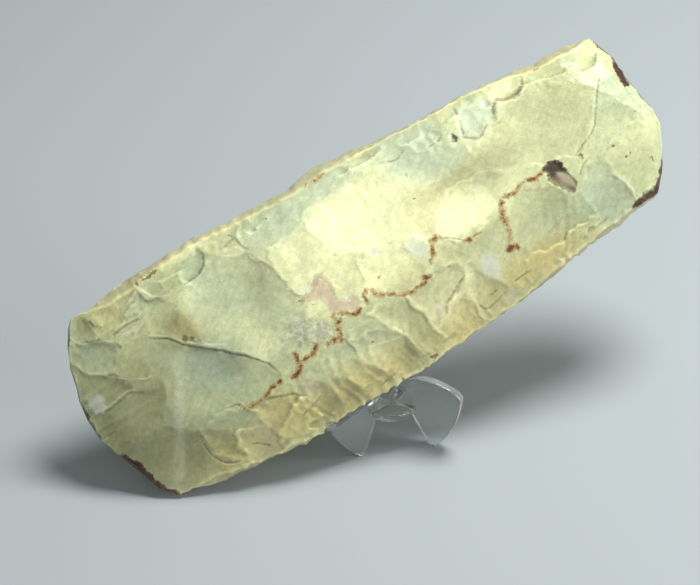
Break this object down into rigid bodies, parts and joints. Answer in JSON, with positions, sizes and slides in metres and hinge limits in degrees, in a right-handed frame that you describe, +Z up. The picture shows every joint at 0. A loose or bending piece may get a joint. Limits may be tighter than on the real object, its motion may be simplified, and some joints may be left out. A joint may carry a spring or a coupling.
{
  "type": "knapped flint axe head on a display stand",
  "caption": "Long four-sided flaked flint axe head, wide cutting end down, leaning face up on a small clear finned stand.",
  "frame": {"origin": "middle of the bounding box on the table, under the leaning axe", "axes": "+X along the axe's length from cutting edge to butt as seen from above, +Y behind the axe, +Z up"},
  "size_m": [0.2436, 0.0794, 0.1305],
  "materials": {
    "flint": "waxy knapped flint, cream to grey green, with rust veins and brown rind at the edges",
    "clear_plastic": "clear moulded acrylic, polished"
  },
  "bodies": {
    "root": {"axe": "flint", "stand": "clear_plastic"}
  },
  "joints": []
}
